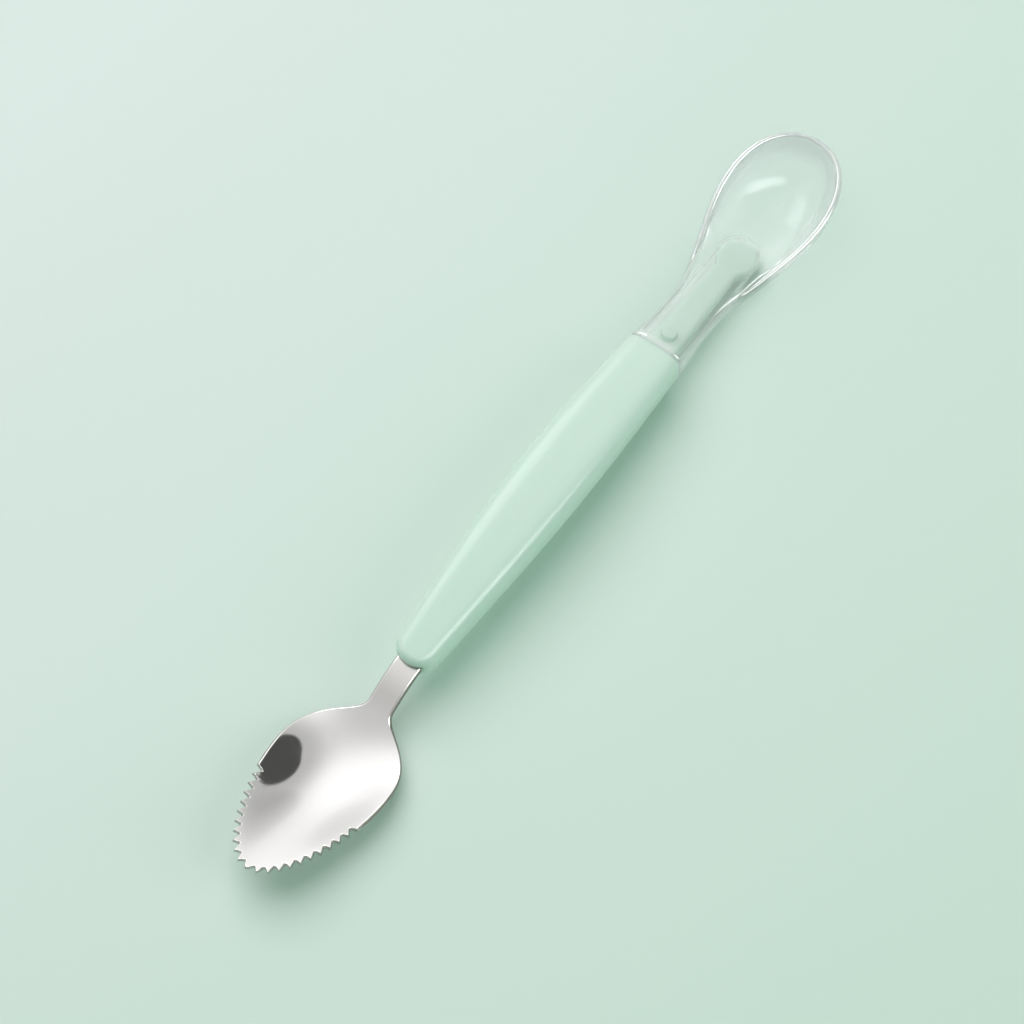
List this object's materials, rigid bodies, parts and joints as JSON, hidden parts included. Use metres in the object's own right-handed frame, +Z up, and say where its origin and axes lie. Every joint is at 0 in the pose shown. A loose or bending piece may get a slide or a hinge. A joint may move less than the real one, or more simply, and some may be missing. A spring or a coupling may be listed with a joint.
{
  "type": "baby spoon",
  "caption": "Double-ended baby spoon: a serrated steel scraper bowl at one end and a soft clear pull-off bowl at the other, joined by a slim arched moulded handle.",
  "frame": {"origin": "centre of the spoon's plan, on the table that it lies on", "axes": "+X along the spoon towards the clear head, +Y across it, +Z up out of the bowls"},
  "size_m": [0.1748, 0.023, 0.0137],
  "materials": {
    "polished_steel": "mirror polished stainless steel",
    "mint_plastic": "glossy moulded polypropylene",
    "clear_silicone": "glossy clear silicone"
  },
  "bodies": {
    "spoon": {"handle": "mint_plastic", "scraper_spoon": "polished_steel"},
    "soft_head": {"clear_spoon_head": "clear_silicone"}
  },
  "joints": [
    {"name": "head_pull", "type": "slide", "parent": "spoon", "child": "soft_head", "axis": [0.9914, 0, -0.1305], "range_m": [0, 0.045]}
  ]
}
